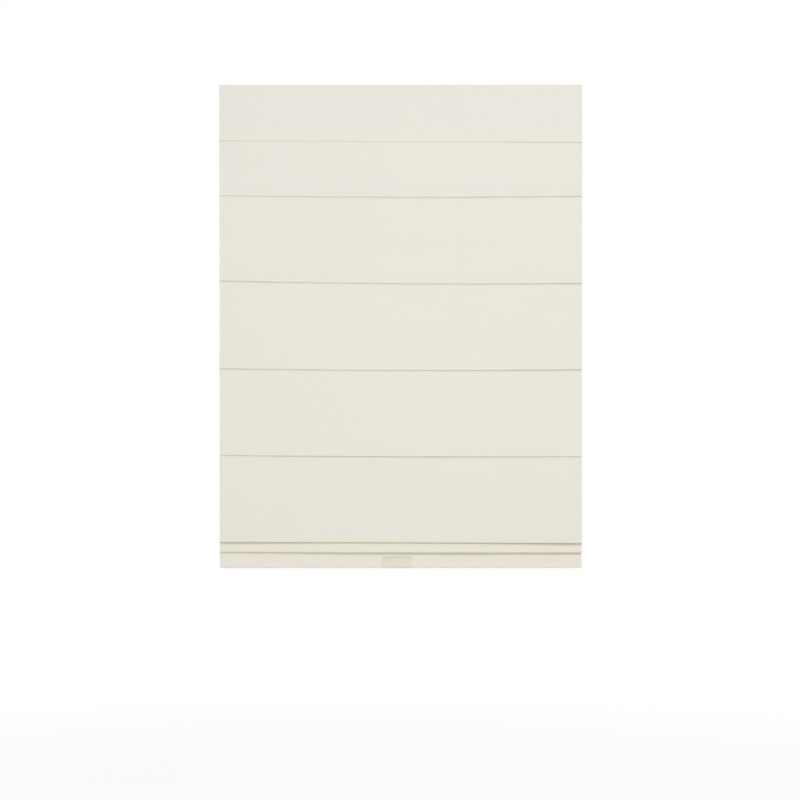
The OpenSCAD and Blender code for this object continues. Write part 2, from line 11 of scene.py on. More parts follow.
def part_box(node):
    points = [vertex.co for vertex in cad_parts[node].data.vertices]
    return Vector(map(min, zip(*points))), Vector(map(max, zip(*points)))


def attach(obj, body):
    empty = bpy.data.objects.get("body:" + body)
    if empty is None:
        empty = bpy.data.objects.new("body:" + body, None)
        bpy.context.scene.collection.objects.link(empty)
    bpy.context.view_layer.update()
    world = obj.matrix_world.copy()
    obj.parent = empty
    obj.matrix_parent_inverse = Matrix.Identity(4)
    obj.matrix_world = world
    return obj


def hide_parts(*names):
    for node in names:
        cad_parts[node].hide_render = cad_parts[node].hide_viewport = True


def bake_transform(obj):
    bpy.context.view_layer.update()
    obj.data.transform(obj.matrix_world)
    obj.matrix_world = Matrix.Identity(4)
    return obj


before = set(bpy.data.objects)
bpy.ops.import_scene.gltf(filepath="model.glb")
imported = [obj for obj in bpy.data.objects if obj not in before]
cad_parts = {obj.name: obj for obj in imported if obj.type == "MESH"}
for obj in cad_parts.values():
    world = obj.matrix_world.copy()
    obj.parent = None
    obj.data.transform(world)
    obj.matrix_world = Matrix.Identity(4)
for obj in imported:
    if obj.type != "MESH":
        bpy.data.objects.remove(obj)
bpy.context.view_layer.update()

bl_info = {
    "name": "Roman Blind",
    "version": (1, 0, 0),
    "blender": (4, 5, 0),
    "location": "View3D > Sidebar > Roman Blind",
    "description": "Dresses a cordless roman blind with cloth, stitching, cords and finishes",
    "category": "Object",
}

# The blind as its frame gives it: six creases and ribs, counted down from the head

FOLDS = 6
HANGING = 4
SIDES = ("left", "right")
CREASES = range(1, FOLDS + 1)
BODY_CHAIN = ["head"] + [f"fold_{k}" for k in range(1, FOLDS)] + ["foot"]


def middle(node):
    """Middle of a CAD node's box."""
    low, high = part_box(node)
    return (low + high) / 2


RIB = {k: middle(f"rib_{k}") for k in CREASES}
RIB_RADIUS = (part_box("rib_1")[1].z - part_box("rib_1")[0].z) / 2
CLOTH_LOW, CLOTH_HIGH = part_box("shade_fabric")
VALANCE_LOW, VALANCE_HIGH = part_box("valance")
RAIL_LOW, RAIL_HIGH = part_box("bottom_rail")
TAB_LOW, TAB_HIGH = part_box("pull_handle")
HALF_WIDTH = CLOTH_HIGH.x
TAPE_MARGIN = 0.001
CLOTH_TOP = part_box("loop_tape_cloth")[1].z + TAPE_MARGIN
FOLD_PITCH = RIB[1].z - RIB[2].z
LIP_DROP = RIB[HANGING].z - RIB[HANGING + 1].z
FOLD_UP = (FOLD_PITCH - LIP_DROP) / 2
FOLD_DOWN = (FOLD_PITCH + LIP_DROP) / 2

CLOTH_THICKNESS = 0.0008
POCKET_ROOM = 0.0004
HEM_ROOM = 0.0003
HEM_PITCH = RAIL_HIGH.y - RAIL_LOW.y + 2 * HEM_ROOM + CLOTH_THICKNESS
HEM_MIDDLE = (RAIL_HIGH.y + RAIL_LOW.y) / 2
RAIL_CORNER = 0.0016
SOCKET_WALL = 0.0017
HEM_CORNER = RAIL_CORNER + HEM_ROOM + CLOTH_THICKNESS / 2
HEM_TURN = RAIL_LOW.z + RAIL_CORNER
HEM_TOP = RAIL_HIGH.z + HEM_ROOM
HEM_FLAP = 0.008


def wall_y(k):
    """Depth of the cloth at rib k, on its middle line; 0 is the cloth at the head rail."""
    if k == 0:
        return CLOTH_LOW.y + CLOTH_THICKNESS / 2
    return RIB[k].y - RIB_RADIUS - POCKET_ROOM - CLOTH_THICKNESS / 2


def layer_pitch(k):
    """Spacing of the layers of cloth at crease k."""
    return (wall_y(k) - wall_y(k - 1)) / 2


def crease_z(k):
    """Height of the lower edge of crease k."""
    return RIB[1].z + FOLD_UP if k == 1 else RIB[k - 1].z - FOLD_DOWN


# Sizes and colours that a user would change


def a_length(label, text, default):
    """Setting that holds a length."""
    return FloatProperty(name=label, description=text, unit="LENGTH", default=default)


def some_lengths(label, text, values):
    """Setting that holds a length for each crease, axis or share of a shape."""
    return FloatVectorProperty(name=label, description=text, unit="LENGTH", size=len(values), default=values)


def crease_shares(label, text, default, **limits):
    """Setting that holds a share for each crease."""
    return FloatVectorProperty(name=label, description=text, size=FOLDS, default=default, **limits)


def a_colour(label, text, default):
    """Setting that holds a colour."""
    return FloatVectorProperty(name=label, description=text, subtype="COLOR", default=default, min=0, max=1)


class BlindCloth(bpy.types.PropertyGroup):
    """Cloth, folds and sewing."""

    colour: a_colour("Colour", "Cream of the cloth", (0.822, 0.799, 0.730))
    # Painted shade: the darker, warmer colour the cloth is given inside its folds, where shade falls
    fold_shade_colour: a_colour("Fold colour", "Warmer tone of the cloth inside its folds", (0.80, 0.75, 0.58))
    thread: a_colour("Thread", "Colour of the sewing thread", (0.80, 0.77, 0.69))
    thickness: a_length("Thickness", "Thickness of the cloth", CLOTH_THICKNESS)
    yarn_pitch: a_length("Yarn pitch", "Spacing of the yarns in the weave", 0.0007)
    flare: some_lengths(
        "Flare", "How far each lip stands forward", (0.0037, 0.0036, 0.0036, 0.0051, 0.0038, 0.0075))
    opening: some_lengths(
        "Opening", "How far the loop of each lip opens", (0.0012, 0.0013, 0.0013, 0.0016, 0.0018, 0.0038))
    flare_height: a_length("Flare height", "Height of cloth that leans into a lip", 0.036)
    # Shares of that painted fold shade at each crease and on the wall behind it
    crease_shade_share: crease_shares(
        "Warmth", "Share of the fold colour at each crease", (0.5, 0.5, 0.55, 0.65, 1.0, 1.0), min=0, max=1)
    wall_shade_share: FloatProperty(name="Wall warmth", description="Share of the fold colour behind a crease",
                               default=0.7, min=0, max=1)
    tuck: a_length("Tuck", "Depth of the tuck behind a hanging crease", 0.008)
    slack: a_length("Slack", "How far the wall under a crease hangs forward", 0.001)
    lift: some_lengths("Lift", "How much higher each crease hangs at its ends",
                       (0.0013, 0.0027, 0.0017, 0.0010, 0.0001, 0.0017))
    tilt: some_lengths("Tilt", "Fall of each crease from the middle to the right edge",
                       (0.0008, 0.0032, 0.0013, 0.0014, 0.0014, 0.0007))
    bow: some_lengths(
        "Bow", "Sag of each crease at the middle", (0.0032, 0.0041, 0.0033, 0.0017, -0.0002, 0.0009))
    lean_right: crease_shares(
        "Lean right", "Share of the flare added at the right edge", (0.22, 0.13, 0.19, 0.08, 0.34, 0.44))
    lean_ends: crease_shares(
        "Lean ends", "Share of the flare added at both edges", (0.0, 0.55, 0.52, -0.48, 1.80, -0.48))
    valance_hang: some_lengths(
        "Valance hang", "Lift, tilt and bow of the valance's foot", (-0.0002, 0.0019, 0.0006))
    valance_flare: a_length("Valance flare", "How far the valance's ends stand forward", 0.0014)
    ripple: a_length("Ripple", "Depth of the slow waves along a crease", 0.0003)
    side_hem: a_length("Side hem", "Width of the turned side hems", 0.022)
    stitch: a_length("Stitch", "Length of a stitch", 0.0034)
    stitch_pitch: a_length("Stitch pitch", "Spacing of the stitches", 0.0048)


class BlindFittings(bpy.types.PropertyGroup):
    """Cords, tab and hard parts."""

    cord: a_colour("Cord", "Colour of the lift cords", (0.80, 0.78, 0.72))
    cord_diameter: a_length("Cord diameter", "Diameter of a lift cord", 0.0014)
    spool_turns: IntProperty(name="Spool turns", description="Turns of cord left on each spool", default=6)
    tab: a_colour("Tab", "Tint of the clear pull tab", (0.91, 0.89, 0.77))
    # Partly the deeper tint of thicker clear plastic and partly painted shade along the tab's top ridge
    tab_edge_tint_and_shade: a_colour("Tab edge", "Deeper tint of the tab's thick upper edge", (0.80, 0.77, 0.645))
    tab_ridge: a_length("Tab ridge", "Height of the ridge along the tab's top", 0.0048)
    paint: a_colour("Paint", "Satin paint of the head rail", (0.80, 0.79, 0.75))
    plastic: a_colour("Plastic", "White moulded plastic", (0.82, 0.81, 0.77))


class BlindStage(bpy.types.PropertyGroup):
    """Camera, lamps and floor."""

    distance: a_length("Distance", "Camera to the cloth", 7.0)
    view_width: a_length("View width", "Width of the picture at the cloth", 2.0171)
    view_middle: some_lengths("View middle", "Middle of the picture", (-0.0019, 0.0, -0.7955))
    floor: a_length("Floor", "Height of the floor", -1.75)
    key: FloatProperty(name="Key lamp", description="Watts of the key lamp", unit="POWER", default=53.5)
    fill: FloatProperty(name="Fill lamp", description="Watts of the fill lamp", unit="POWER", default=26.5)
    sky: FloatProperty(name="Sky", description="Strength of the even studio light", default=0.41)


# Shader building blocks


def add(tree, kind, values=None, **options):
    """Adds a node with its options and input values."""
    made = tree.nodes.new(kind)
    for name, value in options.items():
        setattr(made, name, value)
    for socket, value in (values or {}).items():
        feed(tree, made.inputs[socket], value)
    return made


def feed(tree, socket, value):
    """Links a socket to an input, or sets its value."""
    if isinstance(value, bpy.types.NodeSocket):
        tree.links.new(value, socket)
    else:
        socket.default_value = value


def calc(tree, operation, *values):
    """Math node on values or sockets."""
    made = add(tree, "ShaderNodeMath", dict(enumerate(values)), operation=operation)
    return made.outputs["Value"]


def between(tree, share, low, high):
    """Value that goes from low to high as a share goes from 0 to 1."""
    return calc(tree, "MULTIPLY_ADD", share, high - low, low)


def scaled(tree, colour, level):
    """Colour times a level."""
    made = add(tree, "ShaderNodeVectorMath", {0: colour, "Scale": level}, operation="SCALE")
    return made.outputs["Vector"]


def streaks(tree, place, stretch, detail):
    """Noise that is drawn out along an axis by its stretch."""
    drawn = add(tree, "ShaderNodeVectorMath", {0: place, 1: stretch}, operation="MULTIPLY")
    noise = {"Vector": drawn.outputs["Vector"], "Scale": 1.0, "Detail": detail}
    return add(tree, "ShaderNodeTexNoise", noise).outputs["Fac"]


def place_on(tree, kind="Object"):
    """Place on the piece."""
    return add(tree, "ShaderNodeTexCoord").outputs[kind]


def new_group(name, takes, gives):
    """Node group with named sockets, and its two ends."""
    group = bpy.data.node_groups.new(name, "ShaderNodeTree")
    for in_out, sockets in (("INPUT", takes), ("OUTPUT", gives)):
        for socket, kind in sockets.items():
            group.interface.new_socket(socket, in_out=in_out, socket_type=f"NodeSocket{kind}")
    return group, add(group, "NodeGroupInput").outputs, add(group, "NodeGroupOutput").inputs


def mottle_group():
    """Slow change of a colour's depth, with the value behind it."""
    group, takes, gives = new_group(
        "Mottle", {"Vector": "Vector", "Color": "Color", "Scale": "Float", "Depth": "Float"},
        {"Color": "Color", "Value": "Float"})
    noise = {"Vector": takes["Vector"], "Scale": takes["Scale"], "Detail": 4.0}
    cloud = add(group, "ShaderNodeTexNoise", noise).outputs["Fac"]
    swing = between(group, cloud, -1.0, 1.0)
    level = calc(group, "MULTIPLY_ADD", swing, takes["Depth"], 1.0)
    feed(group, gives["Color"], scaled(group, takes["Color"], level))
    feed(group, gives["Value"], cloud)
    return group


def grain_group():
    """Fine grain, drawn out along an axis by its stretch."""
    group, takes, gives = new_group("Grain", {"Vector": "Vector", "Stretch": "Vector"}, {"Height": "Float"})
    feed(group, gives["Height"], streaks(group, takes["Vector"], takes["Stretch"], 3.0))
    return group


def weave_group():
    """Plain weave of warp and weft yarns, with thicker slubs here and there."""
    group, takes, gives = new_group(
        "Plain weave", {"Vector": "Vector", "Yarns": "Float", "Slub": "Float"},
        {"Height": "Float", "Shade": "Float"})
    turns = calc(group, "MULTIPLY", takes["Yarns"], math.pi)
    place = add(group, "ShaderNodeSeparateXYZ", {"Vector": takes["Vector"]}).outputs
    warp, weft = [calc(group, "SINE", calc(group, "MULTIPLY", place[axis], turns)) for axis in "XY"]
    over = calc(group, "GREATER_THAN", calc(group, "MULTIPLY", warp, weft), 0.0)
    warp_top = calc(group, "MULTIPLY", calc(group, "ABSOLUTE", warp), over)
    weft_top = calc(group, "MULTIPLY", calc(group, "ABSOLUTE", weft), calc(group, "SUBTRACT", 1.0, over))
    slubs = [streaks(group, takes["Vector"], stretch, 2.0) for stretch in SLUB_STRETCHES]
    shade = calc(group, "MULTIPLY", calc(group, "ADD", *slubs), 0.5)
    weave = calc(group, "ADD", warp_top, weft_top)
    feed(group, gives["Height"], calc(group, "MULTIPLY_ADD", shade, takes["Slub"], weave))
    feed(group, gives["Shade"], shade)
    return group


def braid_group():
    """Crossed strands of a braid."""
    group, takes, gives = new_group("Braid", {"Vector": "Vector", "Strands": "Float"}, {"Height": "Float"})
    turns = calc(group, "MULTIPLY", takes["Strands"], 2 * math.pi)
    place = add(group, "ShaderNodeSeparateXYZ", {"Vector": takes["Vector"]}).outputs
    along = calc(group, "ADD", place["Z"], place["Y"])
    strands = [calc(group, "SINE", calc(group, "MULTIPLY", calc(group, way, along, place["X"]), turns))
               for way in ("ADD", "SUBTRACT")]
    feed(group, gives["Height"], calc(group, "MAXIMUM", *strands))
    return group


SLUB_STRETCHES = ((25.0, 900.0, 1.0), (900.0, 25.0, 1.0))
GROUPS = {"Mottle": mottle_group, "Grain": grain_group, "Plain weave": weave_group, "Braid": braid_group}


def use_group(tree, name, **values):
    """Places a shared group, built the first time it is asked for, and gives its outputs."""
    shared = bpy.data.node_groups.get(name) or GROUPS[name]()
    return add(tree, "ShaderNodeGroup", values, node_tree=shared).outputs


def new_finish(name, **sockets):
    """Material with a Principled shader and its even values; underscores stand for spaces."""
    material = bpy.data.materials.new(name)
    material.use_nodes = True
    shader = material.node_tree.nodes["Principled BSDF"]
    for socket, value in sockets.items():
        shader.inputs[socket.replace("_", " ")].default_value = value
    return material, material.node_tree


def surface(material, colour, roughness, height, relief, strength=0.5):
    """Gives a material its colour, its roughness and a height that raises it."""
    tree = material.node_tree
    raised = add(tree, "ShaderNodeBump", {"Height": height, "Strength": strength, "Distance": relief})
    sockets = {"Base Color": colour, "Roughness": roughness, "Normal": raised.outputs["Normal"]}
    for socket, value in sockets.items():
        feed(tree, tree.nodes["Principled BSDF"].inputs[socket], value)
    return material


def hard_finish(name, roughness, stretch, relief, colour, mottle=0.03, scale=9.0, **sockets):
    """Hard surface: colour mottled a little, roughness between two values, and a grain."""
    material, tree = new_finish(name, **sockets)
    place = place_on(tree)
    cloud = use_group(tree, "Mottle", Vector=place, Color=(*colour, 1.0), Scale=scale, Depth=mottle)
    grain = use_group(tree, "Grain", Vector=place, Stretch=stretch)["Height"]
    both = calc(tree, "MULTIPLY", calc(tree, "ADD", cloud["Value"], grain), 0.5)
    return surface(material, cloud["Color"], between(tree, both, *roughness), grain, relief)


def blend_colours(tree, share, first, second):
    """Colour that goes from the first to the second by a share."""
    colours = {0: share, 6: (*first, 1.0), 7: (*second, 1.0)}
    return add(tree, "ShaderNodeMix", colours, data_type="RGBA").outputs[2]


def painted_fold_shade(tree, colour, fold_shade_colour):
    """Colour that goes over to a painted shade colour in the folds, by the piece's own measure of depth."""
    fold = add(tree, "ShaderNodeAttribute", attribute_name="fold").outputs["Fac"]
    return blend_colours(tree, fold, colour, fold_shade_colour)


def cloth_finish(name, colour, fold_shade_colour, yarn_pitch, relief=0.00008):
    """Cream plain weave with soft slubs and a little sheen, with painted shade, darker and warmer, in its
    folds; its UV is in metres.
    """
    material, tree = new_finish(name, Sheen_Weight=0.06, Sheen_Roughness=0.5, Specular_IOR_Level=0.2)
    flat = place_on(tree, "UV")
    weave = use_group(tree, "Plain weave", Vector=flat, Yarns=1.0 / yarn_pitch, Slub=0.6)
    yarn = scaled(tree, painted_fold_shade(tree, colour, fold_shade_colour), between(tree, weave["Shade"], 0.97, 1.03))
    cloud = use_group(tree, "Mottle", Vector=flat, Color=yarn, Scale=3.0, Depth=0.01)
    rough = between(tree, weave["Height"], 0.94, 0.82)
    return surface(material, cloud["Color"], rough, weave["Height"], relief)


def braid_finish(name, colour, pitch, relief):
    """Braided or twisted fibre."""
    material, tree = new_finish(name, Sheen_Weight=0.1, Sheen_Roughness=0.4)
    strands = use_group(tree, "Braid", Vector=place_on(tree), Strands=1.0 / pitch)["Height"]
    # Painted shade: the colour is darker in the grooves between the strands
    shaded = scaled(tree, colour, between(tree, strands, 0.94, 1.0))
    return surface(material, shaded, between(tree, strands, 0.75, 0.65), strands, relief, strength=0.6)


def tab_finish(name, colour, edge_tint_and_shade):
    """Clear moulded plastic with a faint tint and a satin skin; its thick top edge is deeper in tint and
    carries painted shade.
    """
    material, tree = new_finish(name, Alpha=0.78, IOR=1.49, Coat_Weight=0.3)
    place = place_on(tree)
    edge_tinted_and_shaded = painted_fold_shade(tree, colour, edge_tint_and_shade)
    cloud = use_group(tree, "Mottle", Vector=place, Color=edge_tinted_and_shaded, Scale=9.0, Depth=0.02)
    grain = use_group(tree, "Grain", Vector=place, Stretch=(400.0, 400.0, 400.0))["Height"]
    return surface(material, cloud["Color"], between(tree, cloud["Value"], 0.12, 0.22), grain, relief=0.00001)


# Hard finishes: roughness from and to, stretch of the grain, its relief, and what else sets each one apart

HARD = {
    "Satin paint": ((0.34, 0.46), (700.0, 700.0, 700.0), 0.00002, {"Coat_Weight": 0.1}),
    "Mill aluminium": ((0.28, 0.5), (6.0, 1500.0, 1500.0), 0.00002,
                       {"colour": (0.78, 0.78, 0.79), "Metallic": 1.0}),
    "Zinc plate": ((0.26, 0.48), (260.0, 260.0, 260.0), 0.00002,
                   {"colour": (0.60, 0.61, 0.63), "mottle": 0.1, "scale": 120.0, "Metallic": 1.0}),
    "Spring steel": ((0.2, 0.4), (900.0, 900.0, 40.0), 0.00001,
                     {"colour": (0.46, 0.47, 0.50), "mottle": 0.08, "scale": 60.0, "Metallic": 1.0}),
    "Moulded nylon": ((0.42, 0.6), (1200.0, 1200.0, 1200.0), 0.00002, {"Subsurface_Weight": 0.05}),
    "White plastic": ((0.22, 0.36), (900.0, 900.0, 900.0), 0.00001, {"Coat_Weight": 0.15}),
    "Glass fibre": ((0.35, 0.55), (12.0, 2600.0, 2600.0), 0.00004, {"colour": (0.78, 0.78, 0.72)}),
    "Hook tape": ((0.5, 0.8), (1100.0, 1100.0, 1100.0), 0.0006,
                  {"colour": (0.72, 0.70, 0.64), "mottle": 0.08, "scale": 500.0}),
    "Loop tape": ((0.8, 0.95), (2200.0, 2200.0, 2200.0), 0.0005,
                  {"colour": (0.76, 0.74, 0.67), "mottle": 0.06, "scale": 400.0, "Sheen_Weight": 0.3}),
}


def finish_of(context, name):
    """One of the blind's finishes, built the first time it is asked for."""
    cloth, fittings = context.scene.blind_cloth, context.scene.blind_fittings
    if name in bpy.data.materials:
        return bpy.data.materials[name]
    if name == "Cream weave":
        return cloth_finish(name, cloth.colour, cloth.fold_shade_colour, cloth.yarn_pitch)
    if name == "Sewing thread":
        return braid_finish(name, cloth.thread, pitch=0.0005, relief=0.00004)
    if name == "Braided cord":
        return braid_finish(name, fittings.cord, pitch=0.0011, relief=0.00012)
    if name == "Clear tab":
        return tab_finish(name, fittings.tab, fittings.tab_edge_tint_and_shade)
    *values, more = HARD[name]
    own = {"colour": fittings.paint if name == "Satin paint" else fittings.plastic}
    return hard_finish(name, *values, **{**own, **more})


# Pieces and their meshes


def as_mesh(name, bm, material):
    """Mesh made of a bmesh, with its material."""
    mesh = bpy.data.meshes.new(name)
    bm.to_mesh(mesh)
    bm.free()
    mesh.materials.append(material)
    return mesh


def put_in(context, name, data):
    """Object at the origin of the scene."""
    made = bpy.data.objects.new(name, data)
    context.scene.collection.objects.link(made)
    return made


def new_piece(context, name, bm, finish, stands_for=()):
    """Turns a bmesh into a smooth piece at the origin, with its finish."""
    mesh = as_mesh(name, bm, finish_of(context, finish))
    mesh.polygons.foreach_set("use_smooth", [True] * len(mesh.polygons))
    piece = put_in(context, name, mesh)
    if stands_for:
        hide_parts(*stands_for)
    return piece


def thicken(piece, thickness, offset=0.0):
    """Gives a sheet its thickness."""
    wall = piece.modifiers.new("Thickness", "SOLIDIFY")
    wall.thickness = thickness
    wall.offset = offset
    return wall


def section(bm, place, sides, radius, filled):
    """Round section: its vertices and its edges."""
    ring = bmesh.ops.create_circle(bm, cap_ends=filled, segments=sides, radius=radius, matrix=place)["verts"]
    return ring, list(dict.fromkeys(edge for vert in ring for edge in vert.link_edges))


def sweep(bm, route, radius, sides=8):
    """Draws a round section along a route, ring by ring, and closes both ends."""
    last = len(route) - 1
    heading = [(route[min(i + 1, last)] - route[max(i - 1, 0)]).normalized() for i in range(last + 1)]
    turned = Vector((0, 0, 1)).rotation_difference(heading[0])
    place = Matrix.Translation(route[0]) @ turned.to_matrix().to_4x4()
    edges = section(bm, place, sides, radius, True)[1]
    for i in range(1, last + 1):
        turned = heading[i - 1].rotation_difference(heading[i]) @ turned
        following = Matrix.Translation(route[i]) @ turned.to_matrix().to_4x4()
        grown = bmesh.ops.extrude_edge_only(bm, edges=edges)["geom"]
        ring = [item for item in grown if isinstance(item, bmesh.types.BMVert)]
        edges = [item for item in grown if isinstance(item, bmesh.types.BMEdge)
                 and all(vert in ring for vert in item.verts)]
        bmesh.ops.transform(bm, matrix=following @ place.inverted(), verts=ring)
        place = following
    bmesh.ops.edgeloop_fill(bm, edges=edges)


def drawn_between(start, end, step):
    """Points from start to end, at most a step apart."""
    count = max(1, math.ceil((end - start).length / step))
    return [start.lerp(end, i / count) for i in range(count + 1)]


def heights(top, foot, step):
    """Heights from top to foot, at most a step apart."""
    count = max(1, math.ceil(abs(top - foot) / step))
    return [top + (foot - top) * i / count for i in range(count + 1)]


def ease(t):
    """Smooth step from 0 to 1."""
    t = min(max(t, 0.0), 1.0)
    return t * t * (3 - 2 * t)


# Rows across the cloth: depth, height, how far each follows its crease, its share of painted shade in a fold
# and its lean

Row = namedtuple("Row", "y z follow fold lean", defaults=(0.0, 0.0, 0.0))

# Steps of the cloth's grid
ROW_STEP = 0.006
TUCK_STEP = 0.003
SHADED_STEP = 0.0025
COLUMN_STEP = 0.0115
EDGE_STEP = 0.001

# A lip's loop: its depth against a half round, and how fast its painted shade comes in
LIP_DEPTH = 1.6
LIP_SHADE_RAMP = 6.0

# How far the painted shade behind a crease goes down and up
SHADED_DROP = 0.007
SHADED_RISE = 0.006

# Slow waves along a crease: their number, start and share of the ripple
RIPPLES = ((9.0, 1.7, 1.0), (17.0, 2.9, 0.5))

# Valance: room in its hems, height of the foot hem, painted shade at its foot and lean of the right end
VALANCE_GAP = 0.0012
VALANCE_HEM = 0.025
VALANCE_FOOT_SHADE = 0.5
VALANCE_LEAN = 0.3

# Layers sewn on behind the cloth and their seams, by the cloth's thickness
BOTTOM_HEM_LAYER = 1.5
SIDE_HEM_LAYER = 1.06
POCKET_THICKNESS = 0.75
POCKET_SEAM = 1.45
SIDE_SEAM = 1.62
BOTTOM_SEAM = 2.05


def half_turn(start, end, z, up, follow, fold=1.0, leans=(0.0, 0.0), steps=8):
    """Rows of a half round between two depths, over the top (up > 0) or round the foot (up < 0)."""
    rows = []
    for i in range(steps + 1):
        angle = math.pi * i / steps
        across = (1 - math.cos(angle)) / 2
        rise = up * abs(end - start) / 2 * math.sin(angle)
        forward = leans[0] + (leans[1] - leans[0]) * across
        # Painted shade: the share given by fold comes in from the front of the turn
        turn_shade = fold * min(1.0, LIP_SHADE_RAMP * across)
        rows.append(Row(start + (end - start) * across, z + rise, follow, turn_shade, forward))
    return rows


def leaning(y, z, forward, follow, fold=0.0):
    """Row that leans forward from its wall."""
    return Row(y - forward, z, follow, fold, forward)


def foot_turn(y_from, y_to, corner, steps=5):
    """Rows round the foot of the bottom rail, with a corner at the front and one at the back."""
    angles = [math.pi / 2 * i / steps for i in range(steps + 1)]
    front = [Row(y_from + corner * (1 - math.cos(a)), HEM_TURN - corner * math.sin(a)) for a in angles]
    return front + [Row(y_from + y_to - row.y, row.z) for row in reversed(front)]


def lean(cloth, k, z):
    """How far the front layer at crease k leans forward at a height."""
    return cloth.flare[k - 1] * ease((crease_z(k) + cloth.flare_height - z) / cloth.flare_height)


def lean_behind(cloth, k, z):
    """The same for the layer behind it, which opens the loop of the lip."""
    return lean(cloth, k, z) * (1 - cloth.opening[k - 1] / cloth.flare[k - 1])


def painted_shade_behind(cloth, k, z):
    """Painted shade on the cloth behind crease k, which ends just above and just below it."""
    past = z - crease_z(k)
    return cloth.wall_shade_share * ease(1 - past / SHADED_RISE if past > 0 else 1 + past / SHADED_DROP)


def lip_turn(cloth, k):
    """Rows round the foot of crease k, whose outside touches the crease's height."""
    leans = lean(cloth, k, crease_z(k)), lean_behind(cloth, k, crease_z(k))
    front = wall_y(k - 1) - leans[0]
    back = wall_y(k - 1) + layer_pitch(k) - leans[1]
    foot = crease_z(k) + (LIP_DEPTH * (back - front) + cloth.thickness) / 2
    # The lip's turn carries its crease's share of painted shade
    return half_turn(front, back, foot, -LIP_DEPTH, 1.0, cloth.crease_shade_share[k - 1], leans)


def lip_rows(cloth, k):
    """Round the foot of crease k and up behind it, as far as its tuck goes."""
    turn = lip_turn(cloth, k)
    tuck_top = crease_z(k) + cloth.tuck
    behind = wall_y(k - 1) + layer_pitch(k)
    # The tuck behind the lip carries painted shade
    rising = [leaning(behind, z, lean_behind(cloth, k, z), 1.0, painted_shade_behind(cloth, k, z))
              for z in heights(turn[-1].z, tuck_top, TUCK_STEP)]
    return turn + rising[1:]


def front_rows(cloth, k, top, above=None):
    """Front layer from a height, behind the lip above if there is one, to crease k and round its lip."""
    lip = lip_rows(cloth, k)
    foot = lip[0].z
    # Under a gathered lip above, the front layer carries painted shade
    front = [leaning(wall_y(k - 1), z, lean(cloth, k, z), ease((top - z) / (top - foot)),
                     painted_shade_behind(cloth, above, z) if above else 0.0)
             for z in heights(top, foot, ROW_STEP / 2 if above else ROW_STEP)]
    return front + lip[1:]


def falling_rows(cloth, k):
    """Over the tuck of a hanging crease and down the wall to rib k."""
    start = lip_rows(cloth, k)[-1]
    slack_at = wall_y(k) - cloth.slack
    drop = start.z - RIB[k].z
    levels = heights(start.z, crease_z(k) - SHADED_DROP, SHADED_STEP)
    levels += heights(levels[-1], RIB[k].z, ROW_STEP)[1:]
    # The wall just below the crease carries painted shade
    falling = [Row(slack_at + cloth.slack * (start.z - z) / drop, z, ease((z - RIB[k].z) / drop),
                   painted_shade_behind(cloth, k, z)) for z in levels]
    return half_turn(start.y, slack_at, start.z, 1, 1.0, 0.0, (start.lean, 0.0)) + falling[1:]


def rising_rows(cloth, k):
    """From behind a gathered crease up to the ridge over rib k, and the rows that fall from that ridge."""
    start = lip_rows(cloth, k)[-1]
    behind = wall_y(k - 1) + layer_pitch(k)
    top = RIB[k].z
    rising = [leaning(behind, z, lean_behind(cloth, k, z), ease((top - z) / (top - start.z)))
              for z in heights(start.z, top, ROW_STEP)]
    ridge = half_turn(behind, wall_y(k), top, 1, 0.0, 0.0)
    ridge_middle = len(ridge) // 2
    return rising[:-1] + ridge[:ridge_middle + 1], ridge[ridge_middle:]


def hem_rows(cloth):
    """Last wall, round the bottom rail, up its back and onto the wall again where the hem is sewn."""
    front, back = wall_y(FOLDS), wall_y(FOLDS) + HEM_PITCH
    sewn = wall_y(FOLDS) + BOTTOM_HEM_LAYER * cloth.thickness
    levels = heights(RIB[FOLDS].z, crease_z(FOLDS) + SHADED_RISE, ROW_STEP)
    levels += heights(levels[-1], HEM_TURN, SHADED_STEP)[1:]
    # The wall under the last crease carries painted shade
    wall = [Row(front, z, 0.0, painted_shade_behind(cloth, FOLDS, z)) for z in levels]
    up = [Row(back, z) for z in heights(HEM_TURN, HEM_TOP, ROW_STEP)]
    closed = [Row(sewn, HEM_TOP + HEM_PITCH), Row(sewn, HEM_TOP + HEM_PITCH + HEM_FLAP)]
    return wall + foot_turn(front, back, HEM_CORNER)[1:-1] + up + closed


def valance_rows(cloth):
    """From behind its top hem, over the tape, down the front and round its foot hem."""
    gap = VALANCE_GAP
    behind = VALANCE_HIGH.y - cloth.thickness / 2
    face_top, face_foot = behind - gap, VALANCE_LOW.y + cloth.thickness / 2
    top = VALANCE_HIGH.z - (gap + cloth.thickness) / 2
    foot = VALANCE_LOW.z + (gap + cloth.thickness) / 2

    def face_y(z):
        return face_top + (face_foot - face_top) * (top - z) / (top - foot)

    def forward(z):
        return cloth.valance_flare * ease((foot + 2 * cloth.flare_height - z) / (2 * cloth.flare_height))
    back = [Row(behind, z) for z in heights(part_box("loop_tape_valance")[0].z, top, ROW_STEP)]
    face = [Row(face_y(z), z, ease((top - z) / (top - foot)), 0.0, forward(z))
            for z in heights(top, foot, ROW_STEP)]
    inside = [Row(face_y(z) + gap, z, 1.0, 0.0, forward(z))
              for z in heights(foot, foot + VALANCE_HEM, ROW_STEP)]
    leans = (forward(foot), forward(foot))
    # The foot hem's turn carries painted shade
    return (back + half_turn(behind, face_top, top, 1, 0.0, 0.0)[1:-1] + face
            + half_turn(face_foot, face_foot + gap, foot, -1, 1.0, VALANCE_FOOT_SHADE, leans)[1:-1] + inside)


